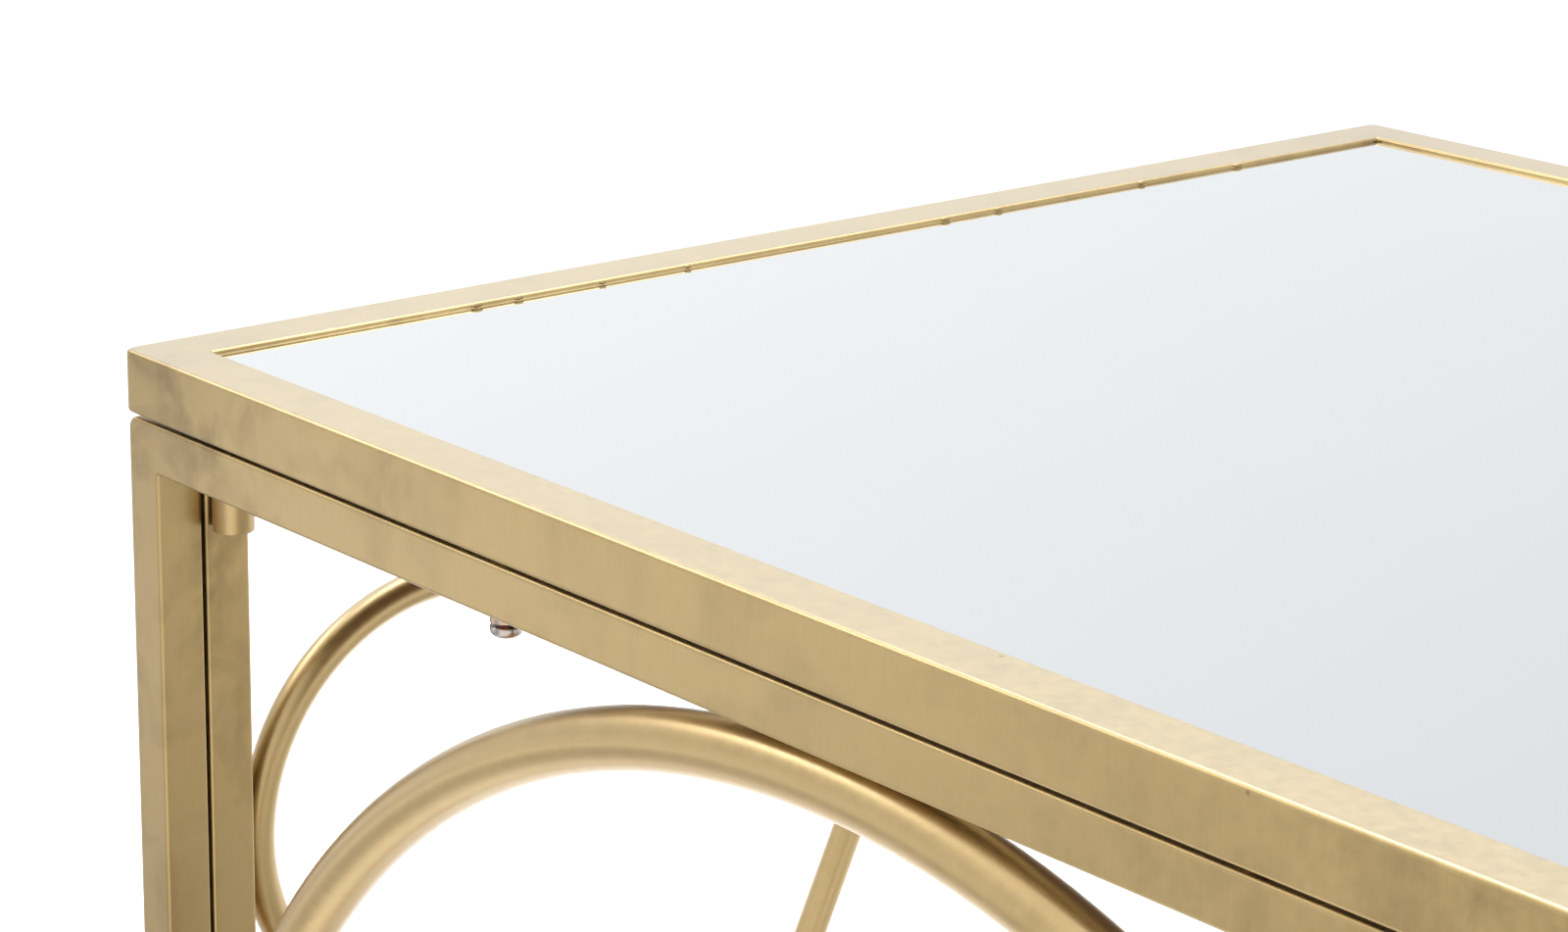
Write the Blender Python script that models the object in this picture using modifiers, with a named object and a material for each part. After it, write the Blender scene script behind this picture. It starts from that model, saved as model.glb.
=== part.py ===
"""Vanity table with a mirror-glass top, a bolted frame of square tube, rings and bent loops.

Four welded panels stand on edge: a front and a back panel, each with one large ring, and two
side panels, each with one bent loop under a short rod. A tray of mitred square tube lies on
them and holds the mirror glass. Screws join the panels and the tray, and four levelling feet
carry the table.

Frame of the model: metres, +Z up, the front of the table looks along -Y, and the origin lies
on the floor under the middle of the table.
"""

import math

import bmesh
import bpy
from mathutils import Matrix

MM = 0.001

# ---------------------------------------------------------------- driving dimensions
RING_DIAMETER = 645.4 * MM      # outside of the ring; sets the panels' clear width and height
TABLE_DEPTH = 620 * MM          # front to back, over the tray
CONTACT_GAP = 0.3 * MM          # between pieces that touch or are welded together

TRAY_TUBE = 21.2 * MM             # square tube round the top
TRAY_WALL = 1.2 * MM
TRAY_ROUND = 1.8 * MM           # rounding of the tube's long edges
TRAY_GAP = 1.3 * MM             # air between the tray and the panels under it

PANEL_TUBE = 17 * MM            # square tube of the four panels
PANEL_WALL = 1.2 * MM
PANEL_ROUND = 1.5 * MM
PANEL_INSET = 1 * MM            # how far the panels stand in from the tray's edge
LEG_GAP = 1.1 * MM              # between a front or back panel and a side panel

RING_TUBE = 19 * MM             # round tube of the large rings
LOOP_TUBE = 12 * MM             # round tube of the bent loops
LOOP_CORNER_RADIUS = 78.8 * MM  # bend at a loop's two wide corners, on the tube's centre line
LOOP_CORNER_SPACING = 140.3 * MM   # between the middles of those bends
LOOP_CORNER_DROP = 140.8 * MM   # from the rail to the centre of those bends
LOOP_TIP_RADIUS = 25 * MM       # bend at the narrow end, on the tube's centre line
LOOP_SIDE_ANGLE = math.radians(25.2)   # lean of the two straight sides

GLASS_THICKNESS = 4 * MM
GLASS_RECESS = 1.8 * MM         # from the top of the tray down to the glass
BOARD_THICKNESS = 9 * MM
PANE_CLEARANCE = 0.8 * MM       # round the glass and its board
GUSSET_THICKNESS = 3 * MM
GUSSET_LEG = 58 * MM            # length of the corner plate along each rail

GUSSET_HOLE_INSET = 3.8 * MM      # least distance from the plate's edges to its hole's middle

SLEEVE_DIAMETER = 14 * MM       # spacer sleeve in each inside corner, at its thinnest
SLEEVE_LENGTH = 39.2 * MM
COUNTERBORE_DEPTH = 8 * MM
SLEEVE_BOLT_DIAMETER = 5 * MM
SLEEVE_BOLT_HEAD = 8.5 * MM
SLEEVE_BOLT_HEAD_HEIGHT = 5 * MM
BOLT_CLEARANCE = 0.4 * MM       # on the radius, round the bolt in its sleeve
BOLT_HEAD_CLEARANCE = 0.5 * MM  # on the radius, round the bolt's head
SOCKET_ACROSS_CORNERS = 4.6 * MM
SOCKET_DEPTH = 3 * MM

SCREW_DIAMETER = 5 * MM         # pan-head screws
SCREW_HEAD_DIAMETER = 10 * MM
SCREW_HEAD_HEIGHT = 4 * MM
SCREW_HOLE_CLEARANCE = 0.4 * MM  # on the radius
SCREW_REACH = 4 * MM            # how far a screw stands into the tube that it threads into
TRAY_SCREW_OFFSET = 146.6 * MM  # of the tray screws from the middle of the table
TRAY_WASHER_THICKNESS = 3.7 * MM   # spring washer under each tray screw's head
LINK_SCREW_HEIGHT = 70 * MM     # of the panel-to-panel screws above the panels' underside

FOOT_DIAMETER = 16 * MM
FOOT_HEIGHT = 7.5 * MM          # floor to the panels' underside with the foot screwed in
FOOT_CHAMFER = 1.2 * MM
STUD_DIAMETER = 6 * MM
STUD_LENGTH = 24 * MM           # above the foot
STUD_SEAT = 4 * MM              # depth of the stud inside the foot

RING_SEGMENTS = 72
RING_SIDES = 12
TURN_STEPS = 16
EDGE_STEPS = 2                  # straight pieces in each rounded tube edge
BEND_STEP = math.radians(9)     # turn between two points of a bent tube

# ---------------------------------------------------------------- sizes that follow
PANEL_CLEAR = RING_DIAMETER + 2 * CONTACT_GAP
PANEL_WIDTH = PANEL_CLEAR + 2 * PANEL_TUBE
PANEL_HEIGHT = PANEL_CLEAR + 2 * PANEL_TUBE
TABLE_LENGTH = PANEL_WIDTH + 2 * PANEL_INSET
SIDE_WIDTH = TABLE_DEPTH - 2 * (PANEL_INSET + PANEL_TUBE + LEG_GAP)
PANEL_BOTTOM = FOOT_HEIGHT
PANEL_TOP = PANEL_BOTTOM + PANEL_HEIGHT
TRAY_BOTTOM = PANEL_TOP + TRAY_GAP
TABLE_HEIGHT = TRAY_BOTTOM + TRAY_TUBE
PANEL_MIDDLE = (PANEL_BOTTOM + PANEL_TOP) / 2
PANEL_OFFSET_Y = TABLE_DEPTH / 2 - PANEL_INSET - PANEL_TUBE / 2
SIDE_OFFSET_X = TABLE_LENGTH / 2 - PANEL_INSET - PANEL_TUBE / 2
SIDE_CLEAR = SIDE_WIDTH - 2 * PANEL_TUBE
LOOP_OUTER_RADIUS = LOOP_CORNER_RADIUS + LOOP_TUBE / 2
SLEEVE_SEAT = PANEL_INSET + PANEL_TUBE + CONTACT_GAP
SLEEVE_FROM_EDGE = max(
    SLEEVE_SEAT + SLEEVE_DIAMETER / 2,
    TRAY_TUBE + CONTACT_GAP + GUSSET_HOLE_INSET,
)
SLEEVE_RADIUS = SLEEVE_FROM_EDGE - SLEEVE_SEAT

SIDE_TURN = (0, 0, math.pi / 2)     # a side panel's own X runs from the front to the back
CORNERS = {
    "front_left": (-1, -1),
    "front_right": (1, -1),
    "back_left": (-1, 1),
    "back_right": (1, 1),
}


# ---------------------------------------------------------------- scene helpers
def clear_scene():
    for item in list(bpy.data.objects):
        bpy.data.objects.remove(item, do_unlink=True)


def new_collection(name):
    collection = bpy.data.collections.new(name)
    bpy.context.scene.collection.children.link(collection)
    return collection


def new_material(name, colour, metallic, roughness):
    material = bpy.data.materials.new(name)
    material.use_nodes = True
    shader = material.node_tree.nodes["Principled BSDF"]
    shader.inputs["Base Color"].default_value = (*colour, 1.0)
    shader.inputs["Metallic"].default_value = metallic
    shader.inputs["Roughness"].default_value = roughness
    return material


def add_object(name, mesh, material, location=(0, 0, 0), rotation=(0, 0, 0), parent=None):
    item = bpy.data.objects.new(name, mesh)
    item.location = location
    item.rotation_euler = rotation
    item.parent = parent
    if not mesh.materials:
        mesh.materials.append(material)
    PARTS.objects.link(item)
    return item


def add_empty(name, location, rotation=(0, 0, 0)):
    empty = bpy.data.objects.new(name, None)
    empty.location = location
    empty.rotation_euler = rotation
    PARTS.objects.link(empty)
    return empty


def take_new_mesh(name):
    """The mesh of the object that an operator has just made, without the object."""
    maker = bpy.context.active_object
    mesh = maker.data
    mesh.name = name
    bpy.data.objects.remove(maker, do_unlink=True)
    return mesh


def shade(mesh, angle=35):
    mesh.shade_smooth()
    mesh.set_sharp_from_angle(angle=math.radians(angle))


def mesh_of_curve(name, curve):
    """A closed mesh from a curve, with the curve's caps welded on."""
    maker = bpy.data.objects.new(name, curve)
    bpy.context.scene.collection.objects.link(maker)
    bpy.context.view_layer.update()
    evaluated = maker.evaluated_get(bpy.context.evaluated_depsgraph_get())
    mesh = bpy.data.meshes.new_from_object(evaluated)
    mesh.name = name
    bpy.data.objects.remove(maker, do_unlink=True)
    shape = bmesh.new()
    shape.from_mesh(mesh)
    bmesh.ops.remove_doubles(shape, verts=shape.verts, dist=0.00001)
    bmesh.ops.recalc_face_normals(shape, faces=shape.faces)
    shape.to_mesh(mesh)
    shape.free()
    return mesh


def plate_mesh(name, outlines, thickness):
    """A flat plate, lying in XY about its middle, from closed outlines; inner ones are holes."""
    curve = bpy.data.curves.new(name, "CURVE")
    curve.dimensions = "2D"
    curve.fill_mode = "BOTH"
    curve.extrude = thickness / 2
    for outline in outlines:
        spline = curve.splines.new("POLY")
        spline.points.add(len(outline) - 1)
        for point, (x, y) in zip(spline.points, outline):
            point.co = (x, y, 0, 1)
        spline.use_cyclic_u = True
    return mesh_of_curve(name, curve)


def arc(centre, radius, start, end, steps):
    """Points along an arc, with both ends."""
    points = []
    for step in range(steps + 1):
        angle = start + (end - start) * step / steps
        points.append((centre[0] + radius * math.cos(angle), centre[1] + radius * math.sin(angle)))
    return points


def rounded_square(half, radius, steps):
    points = []
    for quarter in range(4):
        start = quarter * math.pi / 2
        middle = start + math.pi / 4
        reach = (half - radius) * math.sqrt(2)
        centre = (reach * math.cos(middle), reach * math.sin(middle))
        points += arc(centre, radius, start, start + math.pi / 2, steps)
    return points


def turned_mesh(name, profile):
    """A solid turned about Z. The profile runs from top to bottom down its outer side."""
    closed = profile[0][0] > 0
    mesh = bpy.data.meshes.new(name)
    edges = [(i, i + 1) for i in range(len(profile) - 1)]
    if closed:
        edges.append((len(profile) - 1, 0))
    mesh.from_pydata([(radius, 0, height) for radius, height in profile], edges, [])
    maker = bpy.data.objects.new(name, mesh)
    bpy.context.scene.collection.objects.link(maker)
    screw = maker.modifiers.new("turn", "SCREW")
    screw.steps = TURN_STEPS
    screw.render_steps = TURN_STEPS
    screw.use_merge_vertices = True
    screw.merge_threshold = 0.00001
    bpy.context.view_layer.update()
    evaluated = maker.evaluated_get(bpy.context.evaluated_depsgraph_get())
    turned = bpy.data.meshes.new_from_object(evaluated)
    turned.name = name
    bpy.data.objects.remove(maker, do_unlink=True)
    shade(turned)
    return turned


def add_cutter(name, radius, height, location, rotation=(0, 0, 0), sides=TURN_STEPS):
    bpy.ops.mesh.primitive_cylinder_add(vertices=sides, radius=radius, depth=height)
    cutter = bpy.data.objects.new(name, take_new_mesh(name))
    cutter.location = location
    cutter.rotation_euler = rotation
    cutter.hide_render = True
    cutter.display_type = "WIRE"
    CUTTERS.objects.link(cutter)
    return cutter


def cut(item, cutter):
    boolean = item.modifiers.new(cutter.name, "BOOLEAN")
    boolean.operation = "DIFFERENCE"
    boolean.solver = "EXACT"
    boolean.object = cutter


# ---------------------------------------------------------------- frames of mitred tube
def mitred_tube_mesh(name, length, size, wall, rounding):
    """Square tube along X with both ends mitred. Its short side faces +Z."""
    outer = rounded_square(size / 2, rounding, EDGE_STEPS)
    inner = rounded_square(size / 2 - wall, max(rounding - wall, wall / 4), EDGE_STEPS)
    seam = CONTACT_GAP / math.sqrt(2)
    mesh = plate_mesh(name, [outer, inner], length - 2 * seam)
    mesh.transform(Matrix.Rotation(math.pi / 2, 4, "Y"))
    for vertex in mesh.vertices:
        lean = vertex.co.z + size / 2
        vertex.co.x -= math.copysign(lean, vertex.co.x)
    shade(mesh)
    return mesh


def mitred_frame(names, width, height, tube, centre, rotation, material):
    """Four mitred tubes round a rectangle in the parent's XZ plane: low, high, left, right."""
    size, wall, rounding = tube
    parent = add_empty(names[0] + "_frame", centre, rotation)
    flat = mitred_tube_mesh(names[0], width, size, wall, rounding)
    upright = mitred_tube_mesh(names[2], height, size, wall, rounding)
    reach_x = (width - size) / 2
    reach_z = (height - size) / 2
    places = [
        (flat, (0, 0, -reach_z), 0),
        (flat, (0, 0, reach_z), math.pi),
        (upright, (-reach_x, 0, 0), math.pi / 2),
        (upright, (reach_x, 0, 0), -math.pi / 2),
    ]
    pieces = {}
    for name, (mesh, location, turn) in zip(names, places):
        pieces[name] = add_object(name, mesh, material, location, (0, turn, 0), parent)
    return pieces


def build_tray():
    names = ["tray_rail_front", "tray_rail_back", "tray_rail_left", "tray_rail_right"]
    tube = (TRAY_TUBE, TRAY_WALL, TRAY_ROUND)
    centre = (0, 0, TRAY_BOTTOM + TRAY_TUBE / 2)
    lying = (-math.pi / 2, 0, 0)
    return mitred_frame(names, TABLE_LENGTH, TABLE_DEPTH, tube, centre, lying, GOLD)


def build_ring_panel(side, direction):
    """The front or the back panel: a square frame round one ring."""
    names = [side + "_rail_bottom", side + "_rail_top", side + "_leg_left", side + "_leg_right"]
    tube = (PANEL_TUBE, PANEL_WALL, PANEL_ROUND)
    centre = (0, direction * PANEL_OFFSET_Y, PANEL_MIDDLE)
    pieces = mitred_frame(names, PANEL_WIDTH, PANEL_HEIGHT, tube, centre, (0, 0, 0), GOLD)
    bpy.ops.mesh.primitive_torus_add(
        major_radius=(RING_DIAMETER - RING_TUBE) / 2,
        minor_radius=RING_TUBE / 2,
        major_segments=RING_SEGMENTS,
        minor_segments=RING_SIDES,
    )
    ring = take_new_mesh(side + "_ring")
    ring.shade_smooth()
    pieces[side + "_ring"] = add_object(side + "_ring", ring, GOLD, centre, (math.pi / 2, 0, 0))
    return pieces


# ---------------------------------------------------------------- side panels
def loop_tip_drop():
    """Height from a loop's wide corners down to the centre of its narrow end."""
    spare = LOOP_CORNER_RADIUS - LOOP_TIP_RADIUS
    across = LOOP_CORNER_SPACING / 2 + spare * math.cos(LOOP_SIDE_ANGLE)
    return across / math.tan(LOOP_SIDE_ANGLE) + spare * math.sin(LOOP_SIDE_ANGLE)


def loop_outline():
    """Centre line of a loop, in XZ about the middle of its two wide corners.

    Two equal bends side by side, a straight top between them, and two straight sides that run
    together to a small bend at the low end.
    """
    half = LOOP_CORNER_SPACING / 2
    lean = LOOP_SIDE_ANGLE
    steps = round((math.pi / 2 + lean) / BEND_STEP)
    right = arc((half, 0), LOOP_CORNER_RADIUS, -lean, math.pi / 2, steps)
    left = [(-x, z) for x, z in reversed(right)]
    tip_steps = round((math.pi - 2 * lean) / (2 * BEND_STEP))
    tip_centre = (0, -loop_tip_drop())
    tip = arc(tip_centre, LOOP_TIP_RADIUS, math.pi + lean, 2 * math.pi - lean, tip_steps)
    return right + left + tip


def loop_mesh(name):
    curve = bpy.data.curves.new(name, "CURVE")
    curve.dimensions = "3D"
    curve.bevel_depth = LOOP_TUBE / 2
    curve.bevel_resolution = 4
    curve.resolution_u = 1
    outline = loop_outline()
    spline = curve.splines.new("POLY")
    spline.points.add(len(outline) - 1)
    for point, (x, z) in zip(spline.points, outline):
        point.co = (x, 0, z, 1)
    spline.use_cyclic_u = True
    mesh = mesh_of_curve(name, curve)
    mesh.shade_smooth()
    return mesh


def build_side_panel(side, direction):
    """A side panel: a frame with one loop, against the front leg and under a short rod."""
    names = [side + "_rail_bottom", side + "_rail_top", side + "_leg_front", side + "_leg_back"]
    tube = (PANEL_TUBE, PANEL_WALL, PANEL_ROUND)
    centre = (direction * SIDE_OFFSET_X, 0, PANEL_MIDDLE)
    pieces = mitred_frame(names, SIDE_WIDTH, PANEL_HEIGHT, tube, centre, SIDE_TURN, GOLD)

    half_clear = PANEL_CLEAR / 2
    loop_x = CONTACT_GAP + LOOP_OUTER_RADIUS + (LOOP_CORNER_SPACING - SIDE_CLEAR) / 2
    loop_z = half_clear - LOOP_CORNER_DROP
    hanger_top = half_clear - CONTACT_GAP
    hanger_bottom = loop_z + LOOP_OUTER_RADIUS + CONTACT_GAP
    parent = add_empty(side + "_loop_frame", centre, SIDE_TURN)
    name = side + "_loop"
    pieces[name] = add_object(name, loop_mesh(name), GOLD, (loop_x, 0, loop_z), parent=parent)
    name = side + "_hanger"
    bpy.ops.mesh.primitive_cylinder_add(
        vertices=RING_SIDES, radius=LOOP_TUBE / 2, depth=hanger_top - hanger_bottom)
    rod = take_new_mesh(name)
    shade(rod)
    location = (loop_x, 0, (hanger_top + hanger_bottom) / 2)
    pieces[name] = add_object(name, rod, GOLD, location, parent=parent)
    return pieces


# ---------------------------------------------------------------- top
def build_pane(name, thickness, top, rounding, material):
    """A flat pane inside the tray."""
    length = TABLE_LENGTH - 2 * (TRAY_TUBE + PANE_CLEARANCE)
    depth = TABLE_DEPTH - 2 * (TRAY_TUBE + PANE_CLEARANCE)
    bpy.ops.mesh.primitive_cube_add(size=1)
    mesh = take_new_mesh(name)
    mesh.transform(Matrix.Diagonal((length, depth, thickness, 1)))
    pane = add_object(name, mesh, material, (0, 0, top - thickness / 2))
    bevel = pane.modifiers.new("arris", "BEVEL")
    bevel.width = rounding
    bevel.segments = 1
    return pane


def build_gussets(top):
    """Corner plates in the tray. They carry the board and take the sleeve bolts."""
    corner = TRAY_TUBE + CONTACT_GAP
    hole_at = SLEEVE_FROM_EDGE - corner
    hole_radius = SLEEVE_BOLT_DIAMETER / 2 + CONTACT_GAP
    blunt = 6 * MM
    outline = [(0, 0), (GUSSET_LEG, 0), (GUSSET_LEG, blunt), (blunt, GUSSET_LEG), (0, GUSSET_LEG)]
    hole = arc((hole_at, hole_at), hole_radius, 0, 2 * math.pi, TURN_STEPS)[:-1]
    mesh = plate_mesh("gusset", [outline, hole], GUSSET_THICKNESS)
    turns = {"front_left": 0, "front_right": 90, "back_right": 180, "back_left": 270}
    for place, (side_x, side_y) in CORNERS.items():
        location = (
            side_x * (TABLE_LENGTH / 2 - corner),
            side_y * (TABLE_DEPTH / 2 - corner),
            top - GUSSET_THICKNESS / 2,
        )
        turn = (0, 0, math.radians(turns[place]))
        add_object("gusset_" + place, mesh, STEEL, location, turn)


# ---------------------------------------------------------------- fasteners
def pan_screw_mesh(name, grip):
    """Screw along Z with its head on top of z = 0 and its shank below."""
    head = SCREW_HEAD_DIAMETER / 2
    shank = SCREW_DIAMETER / 2
    length = grip + SCREW_REACH
    dome_steps = 4
    profile = []
    for step in range(dome_steps + 1):
        angle = math.pi / 2 * (1 - step / dome_steps)
        height = SCREW_HEAD_HEIGHT * (0.3 + 0.7 * math.sin(angle))
        profile.append((head * math.cos(angle), height))
    profile[0] = (0, SCREW_HEAD_HEIGHT)
    point = shank / 3
    profile += [(head, 0), (shank, 0), (shank, point - length), (shank - point, -length)]
    profile.append((0, -length))
    return turned_mesh(name, profile)


def build_tray_screws(tray, front, back):
    """Two screws with washers in each ring panel's top rail, up into the tray."""
    washer_z = PANEL_TOP - PANEL_TUBE - CONTACT_GAP
    head_z = washer_z - TRAY_WASHER_THICKNESS - CONTACT_GAP
    mesh = pan_screw_mesh("tray_screw", TRAY_BOTTOM + TRAY_WALL - head_z)
    hole = SCREW_DIAMETER / 2 + SCREW_HOLE_CLEARANCE
    washer = turned_mesh("tray_washer", [
        (SCREW_HEAD_DIAMETER / 2, 0),
        (SCREW_HEAD_DIAMETER / 2, -TRAY_WASHER_THICKNESS),
        (hole, -TRAY_WASHER_THICKNESS),
        (hole, 0),
    ])
    hole_top = TRAY_BOTTOM + TRAY_TUBE / 2
    hole_bottom = head_z - CONTACT_GAP
    rails = {
        "front": (tray["tray_rail_front"], front["front_rail_top"], -PANEL_OFFSET_Y),
        "back": (tray["tray_rail_back"], back["back_rail_top"], PANEL_OFFSET_Y),
    }
    for side, (tray_rail, panel_rail, y) in rails.items():
        for end, direction in (("left", -1), ("right", 1)):
            name = "tray_screw_" + side + "_" + end
            x = direction * TRAY_SCREW_OFFSET
            add_object(name, mesh, ZINC, (x, y, head_z), (math.pi, 0, 0))
            add_object("tray_washer_" + side + "_" + end, washer, ZINC, (x, y, washer_z))
            cutter = add_cutter(
                name + "_hole", hole, hole_top - hole_bottom, (x, y, (hole_top + hole_bottom) / 2))
            cut(tray_rail, cutter)
            cut(panel_rail, cutter)


def build_link_screws(rings, sides):
    """One screw low in each corner, from the side panel's leg into the ring panel's leg."""
    grip = PANEL_TUBE + LEG_GAP + PANEL_WALL
    mesh = pan_screw_mesh("link_screw", grip)
    hole = SCREW_DIAMETER / 2 + SCREW_HOLE_CLEARANCE
    z = PANEL_BOTTOM + LINK_SCREW_HEIGHT
    face = SIDE_WIDTH / 2 - PANEL_TUBE - CONTACT_GAP
    hole_end = PANEL_OFFSET_Y
    hole_start = face - CONTACT_GAP
    for place, (side_x, side_y) in CORNERS.items():
        depth_word, side_word = place.split("_")
        name = "link_screw_" + place
        x = side_x * SIDE_OFFSET_X
        tip_along_y = (side_y * math.pi / 2, 0, 0)
        add_object(name, mesh, ZINC, (x, side_y * face, z), tip_along_y)
        middle = side_y * (hole_start + hole_end) / 2
        cutter = add_cutter(
            name + "_hole", hole, hole_end - hole_start, (x, middle, z), (math.pi / 2, 0, 0))
        cut(rings[depth_word][depth_word + "_leg_" + side_word], cutter)
        cut(sides[side_word][side_word + "_leg_" + depth_word], cutter)


def build_sleeves(gusset_top):
    """Spacer sleeve and socket bolt in each inside corner, up into the gusset.

    A sleeve seats under the tray's rails, or on the gusset where it stands clear of them.
    """
    outer = SLEEVE_RADIUS
    shank = SLEEVE_BOLT_DIAMETER / 2
    head = SLEEVE_BOLT_HEAD / 2
    bore = shank + BOLT_CLEARANCE
    recess = head + BOLT_HEAD_CLEARANCE
    edge = 0.6 * MM
    sleeve = turned_mesh("sleeve", [
        (outer, 0),
        (outer, edge - SLEEVE_LENGTH),
        (outer - edge, -SLEEVE_LENGTH),
        (recess, -SLEEVE_LENGTH),
        (recess, COUNTERBORE_DEPTH - SLEEVE_LENGTH),
        (bore, COUNTERBORE_DEPTH - SLEEVE_LENGTH),
        (bore, 0),
    ])
    seat_face = gusset_top - GUSSET_THICKNESS
    if SLEEVE_SEAT < TRAY_TUBE + CONTACT_GAP:
        seat_face = min(seat_face, TRAY_BOTTOM)
    sleeve_top = seat_face - CONTACT_GAP
    seat = sleeve_top - SLEEVE_LENGTH + COUNTERBORE_DEPTH - CONTACT_GAP
    length = gusset_top - CONTACT_GAP - seat
    bolt = turned_mesh("sleeve_bolt", [
        (0, SLEEVE_BOLT_HEAD_HEIGHT),
        (head - edge, SLEEVE_BOLT_HEAD_HEIGHT),
        (head, SLEEVE_BOLT_HEAD_HEIGHT - edge),
        (head, 0),
        (shank, 0),
        (shank, edge - length),
        (shank - edge, -length),
        (0, -length),
    ])
    for place, (side_x, side_y) in CORNERS.items():
        x = side_x * (TABLE_LENGTH / 2 - SLEEVE_FROM_EDGE)
        y = side_y * (TABLE_DEPTH / 2 - SLEEVE_FROM_EDGE)
        add_object("corner_sleeve_" + place, sleeve, GOLD, (x, y, sleeve_top))
        name = "sleeve_bolt_" + place
        item = add_object(name, bolt, ZINC, (x, y, seat), (math.pi, 0, 0))
        socket_z = seat - SLEEVE_BOLT_HEAD_HEIGHT
        cutter = add_cutter(name + "_socket", SOCKET_ACROSS_CORNERS / 2, 2 * SOCKET_DEPTH,
                            (x, y, socket_z), sides=6)
        cut(item, cutter)


# ---------------------------------------------------------------- levelling feet
def build_feet(rings):
    """Nylon pad and threaded stud under each end of the ring panels.

    Each foot hangs on an empty on its stud's axis and screws down along -Z.
    """
    radius = FOOT_DIAMETER / 2
    pad_top = FOOT_HEIGHT - CONTACT_GAP
    seat = STUD_DIAMETER / 2 + CONTACT_GAP
    pad = turned_mesh("foot_pad", [
        (0, pad_top - STUD_SEAT),
        (seat, pad_top - STUD_SEAT),
        (seat, pad_top),
        (radius - FOOT_CHAMFER, pad_top),
        (radius, pad_top - FOOT_CHAMFER),
        (radius, FOOT_CHAMFER),
        (radius - FOOT_CHAMFER, 0),
        (0, 0),
    ])
    stud_radius = STUD_DIAMETER / 2
    stud_bottom = pad_top - STUD_SEAT + CONTACT_GAP
    stud_top = FOOT_HEIGHT + STUD_LENGTH
    edge = 0.8 * MM
    stud = turned_mesh("foot_stud", [
        (0, stud_top),
        (stud_radius - edge, stud_top),
        (stud_radius, stud_top - edge),
        (stud_radius, stud_bottom),
        (0, stud_bottom),
    ])
    hole = stud_radius + SCREW_HOLE_CLEARANCE
    for place, (side_x, side_y) in CORNERS.items():
        depth_word = place.split("_")[0]
        x = side_x * SIDE_OFFSET_X
        y = side_y * PANEL_OFFSET_Y
        parent = add_empty("foot_" + place + "_axis", (x, y, 0))
        add_object("foot_pad_" + place, pad, NYLON, parent=parent)
        add_object("foot_stud_" + place, stud, ZINC, parent=parent)
        cutter = add_cutter("foot_" + place + "_hole", hole, PANEL_TUBE, (x, y, PANEL_BOTTOM))
        cut(rings[depth_word][depth_word + "_rail_bottom"], cutter)


# ---------------------------------------------------------------- assembly
clear_scene()
PARTS = new_collection("vanity_table")
CUTTERS = new_collection("cutters")
GOLD = new_material("gold_lacquered_steel", (0.56, 0.42, 0.20), 0.85, 0.38)
STEEL = new_material("black_steel_plate", (0.05, 0.05, 0.05), 0.6, 0.5)
ZINC = new_material("zinc_plated_steel", (0.72, 0.70, 0.68), 1.0, 0.25)
NYLON = new_material("black_nylon", (0.02, 0.02, 0.02), 0.0, 0.55)
MIRROR = new_material("mirror_glass", (0.90, 0.92, 0.93), 1.0, 0.03)
BOARD = new_material("backing_board", (0.32, 0.22, 0.13), 0.0, 0.8)

tray_rails = build_tray()
ring_panels = {"front": build_ring_panel("front", -1), "back": build_ring_panel("back", 1)}
side_panels = {"left": build_side_panel("left", -1), "right": build_side_panel("right", 1)}

glass_top = TABLE_HEIGHT - GLASS_RECESS
board_top = glass_top - GLASS_THICKNESS - CONTACT_GAP
gusset_top_height = board_top - BOARD_THICKNESS - CONTACT_GAP
build_pane("mirror_glass", GLASS_THICKNESS, glass_top, 0.5 * MM, MIRROR)
build_pane("backing_board", BOARD_THICKNESS, board_top, 0.3 * MM, BOARD)
build_gussets(gusset_top_height)
build_tray_screws(tray_rails, ring_panels["front"], ring_panels["back"])
build_link_screws(ring_panels, side_panels)
build_sleeves(gusset_top_height)
build_feet(ring_panels)
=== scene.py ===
"""Looks of the vanity table: gold-lacquered tube frame, rings, loops and a mirror-glass top."""
import math

import bmesh
import bpy
from mathutils import Matrix, Vector


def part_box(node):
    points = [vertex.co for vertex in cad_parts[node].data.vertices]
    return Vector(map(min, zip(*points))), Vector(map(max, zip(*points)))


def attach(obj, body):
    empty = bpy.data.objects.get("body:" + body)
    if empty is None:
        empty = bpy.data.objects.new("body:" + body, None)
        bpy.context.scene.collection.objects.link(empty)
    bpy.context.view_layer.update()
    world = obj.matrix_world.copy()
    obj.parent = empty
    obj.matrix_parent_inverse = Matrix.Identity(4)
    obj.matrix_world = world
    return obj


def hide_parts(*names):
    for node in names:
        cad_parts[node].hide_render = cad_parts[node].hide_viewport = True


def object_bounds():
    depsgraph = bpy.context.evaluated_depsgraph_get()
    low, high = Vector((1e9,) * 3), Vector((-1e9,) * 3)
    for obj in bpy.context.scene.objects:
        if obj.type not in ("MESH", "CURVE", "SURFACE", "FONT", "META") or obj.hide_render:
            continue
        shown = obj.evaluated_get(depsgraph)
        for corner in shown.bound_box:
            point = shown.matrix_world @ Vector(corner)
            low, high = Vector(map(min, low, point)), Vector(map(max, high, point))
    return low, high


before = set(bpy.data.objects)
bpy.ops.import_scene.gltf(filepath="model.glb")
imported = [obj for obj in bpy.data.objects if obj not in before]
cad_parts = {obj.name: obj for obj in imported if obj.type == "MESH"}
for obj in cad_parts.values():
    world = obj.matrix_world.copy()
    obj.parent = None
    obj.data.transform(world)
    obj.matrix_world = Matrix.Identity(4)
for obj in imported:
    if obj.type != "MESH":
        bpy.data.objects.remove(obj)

cad_low, cad_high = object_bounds()

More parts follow.
